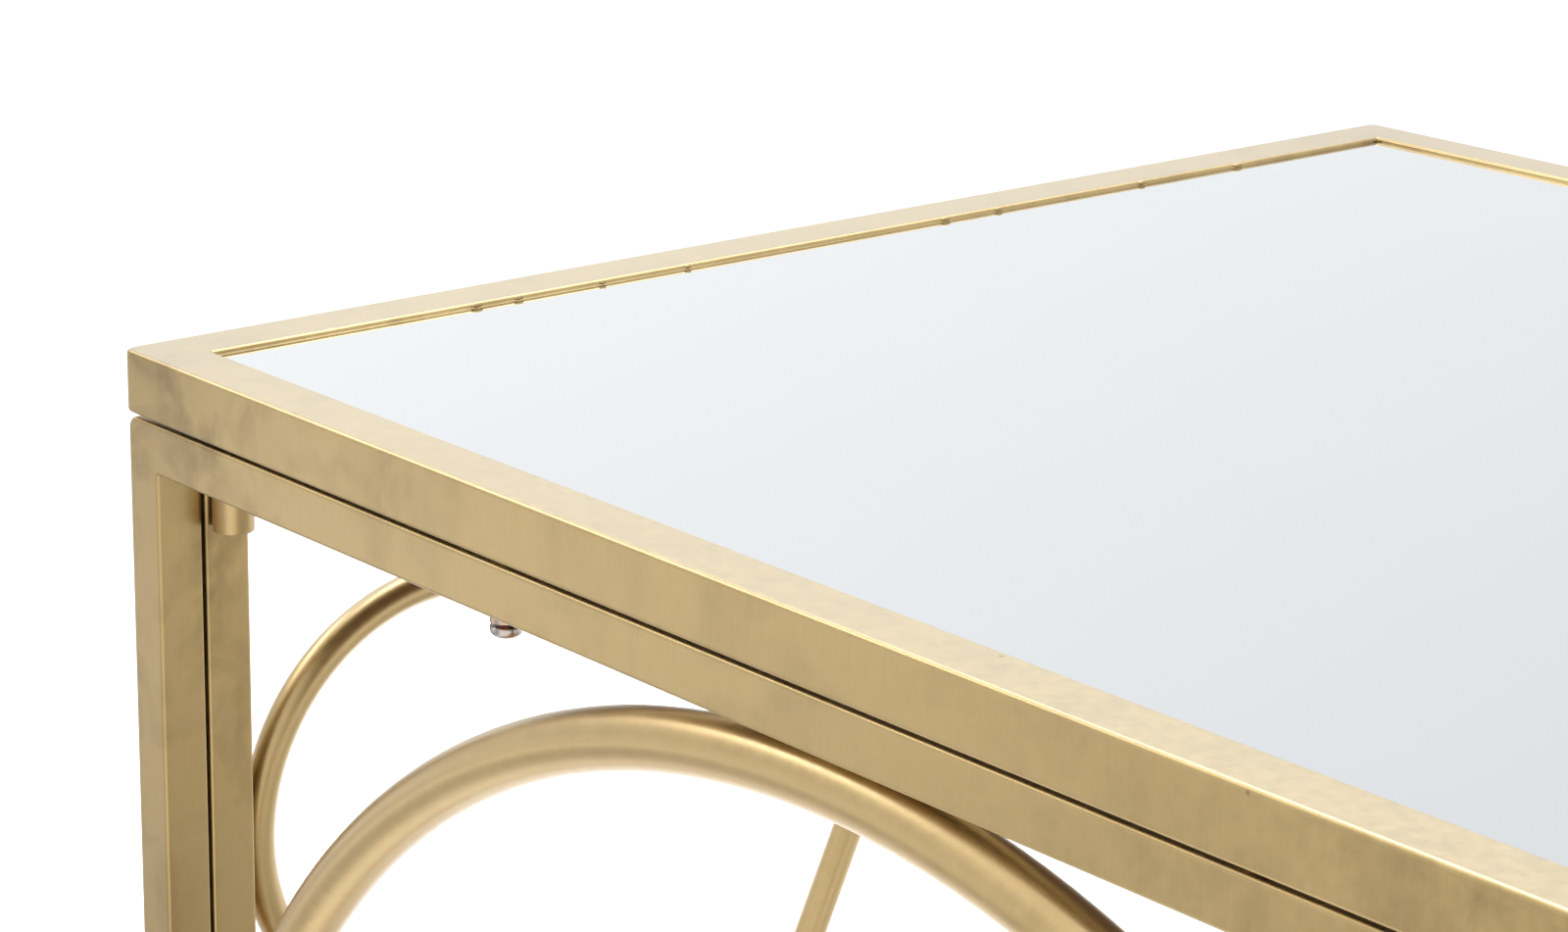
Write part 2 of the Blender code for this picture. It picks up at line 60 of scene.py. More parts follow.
MM = 0.001
BODY = "frame"
CORNERS = {
    "front_left": (-1, -1),
    "front_right": (1, -1),
    "back_left": (-1, 1),
    "back_right": (1, 1),
}

TUBE_EDGE = {"tray": 1.5 * MM, "panel": 1.4 * MM}   # rounding of a square tube's long edges
GROUND_CORNER = 2.8 * MM        # welded outer corners, ground round
INNER_CORNER = 0.5 * MM
RING_STEPS = 216
LOOP_CORNER_RADIUS = 78.8 * MM
LOOP_TIP_RADIUS = 25 * MM
LOOP_LEAN = math.radians(25.2)
BEND_STEP = math.radians(3)
SCREW_HEAD = 10 * MM
SCREW_HEAD_HEIGHT = 4 * MM
SCREW_DIAMETER = 5 * MM
BOLT_BORE = 2.9 * MM            # radius of the holes that an M5 goes through
RIVET_FLANGE = 11.4 * MM        # flange of the rivet nuts between tray and panel
THREAD_PITCH = 1 * MM
THREAD_DEPTH = 0.45 * MM
WELD_RIPPLE = 1.1 * MM          # spacing of the ripples that a weld leaves
WELD_OFFSET = 3.6 * MM          # from a round tube's middle plane to the weld on its face
CREASE = math.radians(38)       # edges of turned pieces sharper than this stay sharp
# small runs of lacquer inside the tray's left rail: distance from its front end, and width
LIP_RUNS = ((128, 5), (146, 4), (183, 3), (222, 3), (349, 5), (377, 4), (456, 4), (512, 5))
LIGHT_POOL = (-1.78, -1.68, 0)  # middle of the pool of light that the front faces mirror
UNDER_TABLE = (0.55, 0.25, 0)   # middle of the painted shadow on the floor under the table, which the legs' inner faces mirror
FALL_OFF = (0.256, 0.294, 0.35)  # the surroundings grow darker in this direction
DARK_SIDE = (-0.83, -0.55, 0.0)  # direction of the darker part of the surroundings, low down


# ---------------------------------------------------------------- materials
def linear(code):
    """sRGB hex colour as linear RGBA."""
    channels = [int(code[i:i + 2], 16) / 255 for i in (0, 2, 4)]
    return (*[c / 12.92 if c <= 0.04045 else ((c + 0.055) / 1.055) ** 2.4 for c in channels], 1)


def add_node(tree, kind, settings, links):
    """Adds a node. A setting names an attribute or an input, a link an input and its source."""
    item = tree.nodes.new("ShaderNode" + kind)
    for key, value in settings.items():
        if isinstance(key, str) and hasattr(item, key):
            setattr(item, key, value)
        else:
            item.inputs[key].default_value = value
    for key, source in links.items():
        tree.links.new(source, item.inputs[key])
    return item


def new_material(name, settings):
    """A material with its shader; returns it with its tree, shader and object coordinates."""
    material = bpy.data.materials.new(name)
    material.use_nodes = True
    tree = material.node_tree
    shader = tree.nodes["Principled BSDF"]
    for key, value in settings.items():
        shader.inputs[key].default_value = value
    place = add_node(tree, "TexCoord", {}, {}).outputs["Object"]
    return material, tree, shader, place


def gold_lacquer(name, streak, blotch, shades):
    """Gold lacquer sprayed on brushed steel tube, baked.

    A satin warm metal. The brushing shows through as fine upright streaks, the lacquer pools
    into soft blotches that are strongest where the corner welds were ground, and a few
    pin-head chips are darker.
    """
    material, tree, shader, place = new_material(name, {
        "Metallic": 1.0, "Coat Weight": 0.9, "Coat Roughness": 0.30, "Coat IOR": 1.55})
    # brushing lines 0.9 mm apart, drawn coarser than real 240 grit so that they show
    brushed = add_node(tree, "Mapping", {"Scale": (1, 1, 0.06)}, {"Vector": place})
    lines = add_node(tree, "TexNoise", {"Scale": 1100, "Detail": 3, "Roughness": 0.6},
                     {"Vector": brushed.outputs[0]})
    bands = add_node(tree, "TexNoise", {"Scale": 110, "Detail": 2, "Roughness": 0.5},
                     {"Vector": brushed.outputs[0]})
    # lacquer pooling over 15 to 40 mm, and cloudiness over 4 mm
    pooling = add_node(tree, "TexNoise", {"Scale": 34, "Detail": 4, "Roughness": 0.55,
                                          "Distortion": 0.6}, {"Vector": place})
    cloud = add_node(tree, "TexNoise", {"Scale": 260, "Detail": 4, "Roughness": 0.62},
                     {"Vector": place})
    # nearness to the ground corner welds, at the ends of the table's four upright corners
    half_height = cad_high[2] / 2
    centred = add_node(tree, "VectorMath", {"operation": "SUBTRACT", 1: (0, 0, half_height)},
                       {0: place})
    plan = add_node(tree, "VectorMath", {"operation": "ABSOLUTE"}, {0: centred.outputs[0]})
    weld = add_node(tree, "VectorMath", {
        "operation": "DISTANCE", 1: (cad_high[0], cad_high[1], half_height)},
        {0: plan.outputs[0]})
    flat = add_node(tree, "VectorMath", {"operation": "MULTIPLY", 1: (1, 1, 0)},
                    {0: plan.outputs[0]})
    corner = add_node(tree, "VectorMath", {
        "operation": "DISTANCE", 1: (cad_high[0], cad_high[1], 0)}, {0: flat.outputs[0]})
    near = add_node(tree, "MapRange", {
        "interpolation_type": "SMOOTHSTEP", "From Min": 0.05, "From Max": 0.20,
        "To Min": 1.0, "To Max": 0.4}, {"Value": weld.outputs["Value"]})
    patch = add_node(tree, "MapRange", {"From Min": 0.44, "From Max": 0.68},
                     {"Value": pooling.outputs["Fac"]})
    patch_near = add_node(tree, "Math", {"operation": "MULTIPLY"},
                          {0: patch.outputs[0], 1: near.outputs[0]})
    patch_band = add_node(tree, "MapRange", {"From Min": 0.35, "From Max": 0.7,
                                             "To Min": 0.45, "To Max": 1.0},
                          {"Value": bands.outputs["Fac"]})
    stain = add_node(tree, "Math", {"operation": "MULTIPLY"},
                     {0: patch_near.outputs[0], 1: patch_band.outputs[0]})
    stain_share = add_node(tree, "Math", {"operation": "MULTIPLY", 1: blotch},
                           {0: stain.outputs[0]})
    cloudy = add_node(tree, "Mix", {
        "data_type": "RGBA", 6: linear(shades[0]), 7: linear(shades[1])},
        {0: cloud.outputs["Fac"]})
    line_share = add_node(tree, "MapRange", {
        "From Min": 0.3, "From Max": 0.7, "To Min": 0.0, "To Max": streak},
        {"Value": lines.outputs["Fac"]})
    lined = add_node(tree, "Mix", {"data_type": "RGBA", 7: linear("D6BD8B")},
                     {0: line_share.outputs[0], 6: cloudy.outputs[2]})
    # darker along the table's four upright corners over their whole height, fading out 85 mm
    # from each corner line
    corner_darkening = add_node(tree, "MapRange", {
        "interpolation_type": "SMOOTHSTEP", "From Min": 0.02, "From Max": 0.085,
        "To Min": 0.36, "To Max": 0.0}, {"Value": corner.outputs["Value"]})
    corner_and_stain_darkening = add_node(tree, "Math", {"operation": "ADD", "use_clamp": True},
                     {0: corner_darkening.outputs[0], 1: stain_share.outputs[0]})
    # faces turned upward are painted paler: a painted reflection of the bright surroundings that
    # the tops mirror
    geometry = add_node(tree, "NewGeometry", {}, {})
    facing = add_node(tree, "SeparateXYZ", {}, {0: geometry.outputs["Normal"]})
    top_sheen_share = add_node(tree, "MapRange", {"From Min": 0.75, "From Max": 1.0, "To Max": 0.6},
                      {"Value": facing.outputs["Z"]})
    stained = add_node(tree, "Mix", {"data_type": "RGBA", 7: linear("8A6F3A")},
                       {0: corner_and_stain_darkening.outputs[0], 6: lined.outputs[2]})
    painted_top_sheen = add_node(tree, "Mix", {"data_type": "RGBA", 7: linear("C9BD9E")},
                       {0: top_sheen_share.outputs[0], 6: stained.outputs[2]})
    # chips about 1.2 mm across, one in some 60 mm
    chips = add_node(tree, "TexVoronoi", {"Scale": 34, "Randomness": 1.0}, {"Vector": place})
    chip = add_node(tree, "MapRange", {"From Min": 0.016, "From Max": 0.030,
                                       "To Min": 0.55, "To Max": 0.0},
                    {"Value": chips.outputs["Distance"]})
    colour = add_node(tree, "Mix", {"data_type": "RGBA", 7: linear("6B5A34")},
                      {0: chip.outputs[0], 6: painted_top_sheen.outputs[2]})
    tree.links.new(colour.outputs[2], shader.inputs["Base Color"])
    rough = add_node(tree, "MapRange", {"From Min": 0.3, "From Max": 0.7,
                                        "To Min": 0.33, "To Max": 0.43},
                     {"Value": cloud.outputs["Fac"]})
    tree.links.new(rough.outputs[0], shader.inputs["Roughness"])
    peel = add_node(tree, "TexNoise", {"Scale": 520, "Detail": 2}, {"Vector": place})
    height = add_node(tree, "Mix", {"data_type": "FLOAT", 0: 0.3},
                      {2: peel.outputs["Fac"], 3: lines.outputs["Fac"]})
    bump = add_node(tree, "Bump", {"Strength": 0.35, "Distance": 0.00008},
                    {"Height": height.outputs[0]})
    tree.links.new(bump.outputs[0], shader.inputs["Normal"])
    return material


def silvered_glass():
    """Float glass silvered on its back: a cold, very slightly green mirror with faint haze."""
    material, tree, shader, place = new_material("silvered_float_glass", {"Metallic": 1.0})
    haze = add_node(tree, "TexNoise", {"Scale": 5, "Detail": 3, "Roughness": 0.5},
                    {"Vector": place})
    tint = add_node(tree, "Mix", {
        "data_type": "RGBA", 6: linear("DDE1E5"), 7: linear("E1E5E8")},
        {0: haze.outputs["Fac"]})
    # dust specks under half a millimetre, one in some 90 mm
    dust = add_node(tree, "TexVoronoi", {"Scale": 11}, {"Vector": place})
    speck = add_node(tree, "MapRange", {"From Min": 0.004, "From Max": 0.012,
                                        "To Min": 0.35, "To Max": 0.0},
                     {"Value": dust.outputs["Distance"]})
    colour = add_node(tree, "Mix", {"data_type": "RGBA", 7: linear("A9AEB2")},
                      {0: speck.outputs[0], 6: tint.outputs[2]})
    tree.links.new(colour.outputs[2], shader.inputs["Base Color"])
    rough = add_node(tree, "MapRange", {"From Min": 0.3, "From Max": 0.7,
                                        "To Min": 0.02, "To Max": 0.06},
                     {"Value": haze.outputs["Fac"]})
    tree.links.new(rough.outputs[0], shader.inputs["Roughness"])
    return material


def pressed_hardboard():
    """Hardboard, pressed from wood fibre: matt brown with short felted fibres."""
    material, tree, shader, place = new_material("pressed_hardboard", {"IOR": 1.45})
    fibre_map = add_node(tree, "Mapping", {"Scale": (1, 0.25, 1)}, {"Vector": place})
    fibre = add_node(tree, "TexNoise", {"Scale": 700, "Detail": 5, "Roughness": 0.7,
                                        "Distortion": 1.2}, {"Vector": fibre_map.outputs[0]})
    shade = add_node(tree, "TexNoise", {"Scale": 18, "Detail": 3}, {"Vector": place})
    fine = add_node(tree, "Mix", {
        "data_type": "RGBA", 6: linear("5A3F28"), 7: linear("8A6747")},
        {0: fibre.outputs["Fac"]})
    colour = add_node(tree, "Mix", {"data_type": "RGBA", 7: linear("4A3320")},
                      {0: shade.outputs["Fac"], 6: fine.outputs[2]})
    tree.links.new(colour.outputs[2], shader.inputs["Base Color"])
    rough = add_node(tree, "MapRange", {"To Min": 0.62, "To Max": 0.88},
                     {"Value": fibre.outputs["Fac"]})
    tree.links.new(rough.outputs[0], shader.inputs["Roughness"])
    bump = add_node(tree, "Bump", {"Strength": 0.5, "Distance": 0.0002},
                    {"Height": fibre.outputs["Fac"]})
    tree.links.new(bump.outputs[0], shader.inputs["Normal"])
    return material


def black_painted_steel():
    """Black paint dipped on steel plate: low sheen, fine orange peel, greyer on its rubs."""
    material, tree, shader, place = new_material("black_painted_steel", {"IOR": 1.5})
    peel = add_node(tree, "TexNoise", {"Scale": 900, "Detail": 3}, {"Vector": place})
    rub = add_node(tree, "TexNoise", {"Scale": 90, "Detail": 4}, {"Vector": place})
    worn = add_node(tree, "MapRange", {"From Min": 0.55, "From Max": 0.75},
                    {"Value": rub.outputs["Fac"]})
    colour = add_node(tree, "Mix", {
        "data_type": "RGBA", 6: linear("1D1D1F"), 7: linear("3A3A3C")},
        {0: worn.outputs[0]})
    tree.links.new(colour.outputs[2], shader.inputs["Base Color"])
    rough = add_node(tree, "MapRange", {"To Min": 0.36, "To Max": 0.6},
                     {"Value": rub.outputs["Fac"]})
    tree.links.new(rough.outputs[0], shader.inputs["Roughness"])
    bump = add_node(tree, "Bump", {"Strength": 0.4, "Distance": 0.0001},
                    {"Height": peel.outputs["Fac"]})
    tree.links.new(bump.outputs[0], shader.inputs["Normal"])
    return material


def zinc_plate():
    """Zinc-plated, clear-passivated screws: bright, with pink and blue interference tints."""
    material, tree, shader, place = new_material("passivated_zinc_plate", {"Metallic": 1.0})
    tint = add_node(tree, "TexNoise", {"Scale": 260, "Detail": 3, "Distortion": 0.8},
                    {"Vector": place})
    ramp = add_node(tree, "ValToRGB", {}, {"Fac": tint.outputs["Fac"]})
    stops = ramp.color_ramp.elements
    stops[0].position, stops[0].color = 0.34, linear("9EA1AB")
    stops[1].position, stops[1].color = 0.66, linear("C99F88")
    middle = stops.new(0.5)
    middle.color = linear("B9B1AC")
    tree.links.new(ramp.outputs["Color"], shader.inputs["Base Color"])
    rough = add_node(tree, "MapRange", {"To Min": 0.2, "To Max": 0.34},
                     {"Value": tint.outputs["Fac"]})
    tree.links.new(rough.outputs[0], shader.inputs["Roughness"])
    return material


def moulded_nylon():
    """Black nylon, injection moulded: soft sheen from a fine spark-eroded mould texture."""
    material, tree, shader, place = new_material("moulded_black_nylon", {"IOR": 1.53})
    grain = add_node(tree, "TexVoronoi", {"Scale": 1600}, {"Vector": place})
    scuff = add_node(tree, "TexNoise", {"Scale": 220, "Detail": 4}, {"Vector": place})
    colour = add_node(tree, "Mix", {
        "data_type": "RGBA", 6: linear("131314"), 7: linear("242526")},
        {0: scuff.outputs["Fac"]})
    tree.links.new(colour.outputs[2], shader.inputs["Base Color"])
    rough = add_node(tree, "MapRange", {"To Min": 0.42, "To Max": 0.62},
                     {"Value": scuff.outputs["Fac"]})
    tree.links.new(rough.outputs[0], shader.inputs["Roughness"])
    bump = add_node(tree, "Bump", {"Strength": 0.3, "Distance": 0.00006},
                    {"Height": grain.outputs["Distance"]})
    tree.links.new(bump.outputs[0], shader.inputs["Normal"])
    return material


SQUARE_TUBE_GOLD = gold_lacquer("gold_lacquer_on_brushed_tube", 0.16, 0.75,
                                ("B59A62", "C8AD74"))
ROUND_TUBE_GOLD = gold_lacquer("gold_lacquer_on_bent_tube", 0.12, 0.30, ("BCA06A", "CFB37C"))
GLASS = silvered_glass()
HARDBOARD = pressed_hardboard()
BLACK_STEEL = black_painted_steel()
ZINC = zinc_plate()
NYLON = moulded_nylon()


# ---------------------------------------------------------------- making pieces
def add_piece(name, mesh, material, replaced=(), body=BODY):
    """Puts a mesh in the scene as a piece of the table."""
    piece = bpy.data.objects.new(name, mesh)
    bpy.context.scene.collection.objects.link(piece)
    mesh.materials.clear()
    mesh.materials.append(material)
    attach(piece, body)
    if replaced:
        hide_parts(*replaced)
    return piece


def baked(maker):
    """The mesh of a helper object with its modifiers applied; drops the helper."""
    bpy.context.view_layer.update()
    graph = bpy.context.evaluated_depsgraph_get()
    mesh = bpy.data.meshes.new_from_object(maker.evaluated_get(graph))
    bpy.data.objects.remove(maker, do_unlink=True)
    return mesh


def mesh_from(shape, name):
    """The mesh of a bmesh, which is freed."""
    mesh = bpy.data.meshes.new(name)
    shape.to_mesh(mesh)
    shape.free()
    return mesh


def creased_mesh(shape, name):
    """The mesh of a closed bmesh, shaded smooth between its sharp edges."""
    bmesh.ops.recalc_face_normals(shape, faces=shape.faces)
    mesh = mesh_from(shape, name)
    mesh.shade_smooth()
    mesh.set_sharp_from_angle(angle=CREASE)
    return mesh


def settle(maker, angle):
    """The baked mesh of a helper object, cleaned and shaded smooth up to an angle in degrees."""
    name = maker.name
    mesh = baked(maker)
    mesh.name = name
    shape = bmesh.new()
    shape.from_mesh(mesh)
    bmesh.ops.remove_doubles(shape, verts=shape.verts, dist=2e-6)
    bmesh.ops.recalc_face_normals(shape, faces=shape.faces)
    shape.to_mesh(mesh)
    shape.free()
    mesh.shade_smooth()
    mesh.set_sharp_from_angle(angle=math.radians(angle))
    return mesh


def helper(name, data):
    """An object in the scene that holds some data."""
    item = bpy.data.objects.new(name, data)
    bpy.context.scene.collection.objects.link(item)
    return item


def arc(centre, radius, start, end, step=BEND_STEP):
    """Points along an arc, with both ends."""
    count = max(1, round(abs(end - start) / step))
    angles = [start + (end - start) * i / count for i in range(count + 1)]
    return [(centre[0] + radius * math.cos(a), centre[1] + radius * math.sin(a)) for a in angles]


def rounded_rectangle(width, height, radius):
    """Outline of a rectangle about the origin with rounded corners."""
    points = []
    for quarter, (x, y) in enumerate(((1, 1), (-1, 1), (-1, -1), (1, -1))):
        centre = (x * (width / 2 - radius), y * (height / 2 - radius))
        start = quarter * math.pi / 2
        points += arc(centre, radius, start, start + math.pi / 2, math.pi / 12)
    return points


def welded_frame(name, width, height, tube, edge, turn, centre):
    """A rectangle of square tube with ground corners, lying in XY before it is turned."""
    curve = bpy.data.curves.new(name, "CURVE")
    curve.dimensions = "2D"
    curve.fill_mode = "BOTH"
    curve.extrude = tube / 2 - edge
    curve.bevel_depth = edge
    curve.bevel_resolution = 3
    outlines = (
        rounded_rectangle(width - 2 * edge, height - 2 * edge, GROUND_CORNER),
        rounded_rectangle(width - 2 * tube + 2 * edge, height - 2 * tube + 2 * edge,
                          edge + INNER_CORNER),
    )
    for outline in outlines:
        spline = curve.splines.new("POLY")
        spline.points.add(len(outline) - 1)
        for point, (x, y) in zip(spline.points, outline):
            point.co = (x, y, 0, 1)
        spline.use_cyclic_u = True
    mesh = settle(helper(name, curve), 60)
    mesh.transform(Matrix.Translation(centre) @ turn)
    maker = helper(name, mesh)
    weighted = maker.modifiers.new("flat_faces", "WEIGHTED_NORMAL")
    weighted.weight = 100
    weighted.keep_sharp = True
    return baked(maker)


def turned(name, profile, steps=48, swell=None):
    """A solid turned about Z from its (radius, height) profile, top to bottom.

    swell(radius, height, turn) gives the radius at an angle, for a thread.
    """
    shape = bmesh.new()
    rows = []
    for radius, height in profile:
        if radius == 0:
            rows.append([shape.verts.new((0, 0, height))])
            continue
        row = []
        for step in range(steps):
            turn = 2 * math.pi * step / steps
            reach = swell(radius, height, turn) if swell else radius
            row.append(shape.verts.new((reach * math.cos(turn), reach * math.sin(turn), height)))
        rows.append(row)
    if profile[0][0] > 0:
        rows.append(rows[0])
    for upper, lower in zip(rows, rows[1:]):
        for step in range(steps):
            after = (step + 1) % steps
            corners = [upper[step % len(upper)], lower[step % len(lower)],
                       lower[after % len(lower)], upper[after % len(upper)]]
            shape.faces.new(list(dict.fromkeys(corners)))
    return creased_mesh(shape, name)


def weld_bead(length, radius):
    """A rippled weld bead along X, fatter in the middle."""
    rows = []
    count = round(length / WELD_RIPPLE) * 4
    for i in range(count + 1):
        along = length * (i / count - 0.5)
        swell = math.sqrt(max(0.0, 1 - (2 * along / length) ** 2))
        ripple = 1 + 0.13 * math.cos(2 * math.pi * along / WELD_RIPPLE)
        rows.append((radius * swell * ripple, -along))
    rows[0] = (0, rows[0][1])
    rows[-1] = (0, rows[-1][1])
    mesh = turned("bead", rows, 14)
    mesh.transform(Matrix.Rotation(math.pi / 2, 4, "Y"))
    return mesh


def joined(name, parts):
    """One mesh from several (mesh, matrix) pairs."""
    shape = bmesh.new()
    for mesh, matrix in parts:
        copy = mesh.copy()
        copy.transform(matrix)
        shape.from_mesh(copy)
        bpy.data.meshes.remove(copy)
    mesh = mesh_from(shape, name)
    mesh.shade_smooth()
    return mesh


def extent(*nodes):
    """Middle and size of the box round some CAD nodes."""
    boxes = [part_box(node) for node in nodes]
    low = Vector(min(b[0][i] for b in boxes) for i in range(3))
    high = Vector(max(b[1][i] for b in boxes) for i in range(3))
    return (low + high) / 2, high - low


# ---------------------------------------------------------------- tray and panels
def build_tray_frame():
    """The tray's four mitred tubes as one frame with ground corners."""
    nodes = ["tray_rail_" + side for side in ("front", "back", "left", "right")]
    middle, size = extent(*nodes)
    mesh = welded_frame("tray_frame", size.x, size.y, size.z, TUBE_EDGE["tray"],
                        Matrix.Identity(4), middle)
    add_piece("tray_frame", mesh, SQUARE_TUBE_GOLD, nodes)


def build_panel_frame(side, legs):
    """A panel's two rails and two legs as one frame with ground corners."""
    nodes = [side + "_rail_bottom", side + "_rail_top"]
    nodes += [side + "_leg_" + leg for leg in legs]
    middle, size = extent(*nodes)
    upright = Matrix.Rotation(math.pi / 2, 4, "X")
    if side in ("left", "right"):
        upright = Matrix.Rotation(math.pi / 2, 4, "Z") @ upright
    mesh = welded_frame(side + "_frame", max(size.x, size.y), size.z, min(size.x, size.y),
                        TUBE_EDGE["panel"], upright, middle)
    add_piece(side + "_frame", mesh, SQUARE_TUBE_GOLD, nodes)


def build_ring(side):
    """The large ring, with a weld bead on each face where it touches its frame."""
    middle, size = extent(side + "_ring")
    tube = size.y
    bpy.ops.mesh.primitive_torus_add(
        major_radius=(size.x - tube) / 2, minor_radius=tube / 2,
        major_segments=RING_STEPS, minor_segments=32)
    maker = bpy.context.active_object
    mesh = maker.data
    bpy.data.objects.remove(maker, do_unlink=True)
    mesh.transform(Matrix.Translation(middle) @ Matrix.Rotation(math.pi / 2, 4, "X"))
    mesh.shade_smooth()
    add_piece(side + "_ring_tube", mesh, ROUND_TUBE_GOLD, [side + "_ring"])
    bead = weld_bead(15 * MM, 1.1 * MM)
    parts = []
    for quarter in range(4):
        for face in (-1, 1):
            place = Matrix.Rotation(quarter * math.pi / 2, 4, "Y") @ Matrix.Translation(
                (0, face * WELD_OFFSET, size.x / 2 - 0.5 * MM))
            parts.append((bead, Matrix.Translation(middle) @ place))
    add_piece(side + "_ring_welds", joined(side + "_ring_welds", parts),
              ROUND_TUBE_GOLD)


# ---------------------------------------------------------------- side loops
def loop_points(spacing):
    """Centre line of a loop about the middle of its two wide corners, in XZ."""
    half = spacing / 2
    spare = LOOP_CORNER_RADIUS - LOOP_TIP_RADIUS
    right = arc((half, 0), LOOP_CORNER_RADIUS, -LOOP_LEAN, math.pi / 2)
    left = [(-x, z) for x, z in reversed(right)]
    drop = (half + spare * math.cos(LOOP_LEAN)) / math.tan(LOOP_LEAN)
    drop += spare * math.sin(LOOP_LEAN)
    tip = arc((0, -drop), LOOP_TIP_RADIUS, math.pi + LOOP_LEAN, 2 * math.pi - LOOP_LEAN)
    return right + left + tip


def build_loop(side):
    """A bent loop, its hanger rod and its welds to the front leg."""
    name = side + "_loop"
    low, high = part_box(name)
    tube = high.x - low.x
    outer = LOOP_CORNER_RADIUS + tube / 2
    spacing = high.y - low.y - 2 * outer
    centre = Vector(((low.x + high.x) / 2, (low.y + high.y) / 2, high.z - outer))
    curve = bpy.data.curves.new(name, "CURVE")
    curve.dimensions = "3D"
    curve.bevel_depth = tube / 2
    curve.bevel_resolution = 6
    points = loop_points(spacing)
    spline = curve.splines.new("POLY")
    spline.points.add(len(points) - 1)
    for point, (across, up) in zip(spline.points, points):
        point.co = (centre.x, centre.y + across, centre.z + up, 1)
    spline.use_cyclic_u = True
    add_piece(name + "_tube", settle(helper(name, curve), 60), ROUND_TUBE_GOLD,
              [name])

    hanger = side + "_hanger"
    middle, size = extent(hanger)
    half = size.z / 2
    rod = size.x / 2
    fillet = 1.6 * MM
    profile = [(0, half), (rod + fillet, half), (rod + fillet * 0.4, half - fillet * 0.6),
               (rod, half - fillet * 1.6), (rod, 0), (rod, fillet * 1.6 - half),
               (rod + fillet * 0.4, fillet * 0.6 - half), (rod + fillet, -half), (0, -half)]
    mesh = turned(hanger, profile, 36)
    mesh.transform(Matrix.Translation(middle))
    add_piece(hanger + "_rod", mesh, ROUND_TUBE_GOLD, [hanger])

    bead = weld_bead(13 * MM, 1.2 * MM)
    upright = Matrix.Rotation(math.pi / 2, 4, "Y")
    parts = []
    for face in (-1, 1):
        spot = (centre.x + face * WELD_OFFSET, low.y + 1.1 * MM, centre.z)
        parts.append((bead, Matrix.Translation(spot) @ upright))
    add_piece(name + "_welds", joined(name + "_welds", parts), ROUND_TUBE_GOLD)


# ---------------------------------------------------------------- fasteners
def cross_recess(mesh, depth):
    """Cuts a cross recess, tapered like a driver's point, into the top of a screw head."""
    maker = helper("head", mesh)
    blades = []
    for turn in (0, math.pi / 2):
        bpy.ops.mesh.primitive_cube_add(size=1)
        blade = bpy.context.active_object
        for vertex in blade.data.vertices:
            taper = 1 if vertex.co.z > 0 else 0.45
            vertex.co.x *= 5.2 * MM * taper
            vertex.co.y *= 1.1 * MM
            vertex.co.z *= 2 * depth
        blade.data.transform(Matrix.Translation((0, 0, SCREW_HEAD_HEIGHT))
                             @ Matrix.Rotation(turn, 4, "Z"))
        cut = maker.modifiers.new("recess", "BOOLEAN")
        cut.operation = "DIFFERENCE"
        cut.solver = "EXACT"
        cut.object = blade
        blades.append(blade)
    cut_mesh = settle(maker, 35)
    for blade in blades:
        bpy.data.objects.remove(blade, do_unlink=True)
    return cut_mesh


def thread(radius, height, turn):
    """Radius of a thread whose ridge climbs one pitch in a turn."""
    phase = (height / THREAD_PITCH - turn / (2 * math.pi)) % 1
    return radius - THREAD_DEPTH * (1 - abs(2 * phase - 1))


def screw_mesh(name, length):
    """Pan-head screw along Z, its head above z = 0 and its threaded shank below."""
    head = SCREW_HEAD / 2
    dome = []
    for step in range(13):
        angle = math.pi / 2 * (1 - step / 12)
        height = SCREW_HEAD_HEIGHT * (0.28 + 0.72 * math.sin(angle) ** 0.9)
        dome.append((head * math.cos(angle) ** 0.85 if step else 0, height))
    head_mesh = turned(name, dome + [(head, 0.3 * MM), (head - 0.3 * MM, 0), (0, 0)], 48)
    head_mesh = cross_recess(head_mesh, 2.1 * MM)
    rows = round(length / (THREAD_PITCH / 6))
    shank = [(0, 0)] + [(SCREW_DIAMETER / 2, -length * i / rows) for i in range(rows + 1)]
    shank.append((0, -length))
    shank_mesh = turned(name, shank, 24, thread)
    mesh = joined(name, [(head_mesh, Matrix.Identity(4)), (shank_mesh, Matrix.Identity(4))])
    mesh.set_sharp_from_angle(angle=math.radians(35))
    return mesh


def washer_mesh(node):
    """A spring washer: a coil of square steel wire with its ends a little apart."""
    middle, size = extent(node)
    outer = size.x / 2
    inner = outer - 2.1 * MM
    soft = 0.25 * MM
    rise = 0.9 * MM     # from one end of the wire to the other
    section = ((inner, 0), (outer - soft, 0), (outer, soft), (outer, 1), (outer - soft, 1),
               (inner, 1))
    wire = size.z - rise
    steps = 60
    shape = bmesh.new()
    rows = []
    for step in range(steps + 1):
        turn = math.radians(6 + 348 * step / steps)
        lift = rise * step / steps - size.z / 2
        row = []
        for radius, height in section:
            up = lift + (wire if height == 1 else height)
            row.append(shape.verts.new((radius * math.cos(turn), radius * math.sin(turn), up)))
        rows.append(row)
    count = len(section)
    for before, after in zip(rows, rows[1:]):
        for i in range(count):
            k = (i + 1) % count
            shape.faces.new((before[i], before[k], after[k], after[i]))
    shape.faces.new(rows[0])
    shape.faces.new(rows[-1][::-1])
    mesh = creased_mesh(shape, node)
    mesh.transform(Matrix.Translation(middle))
    return mesh


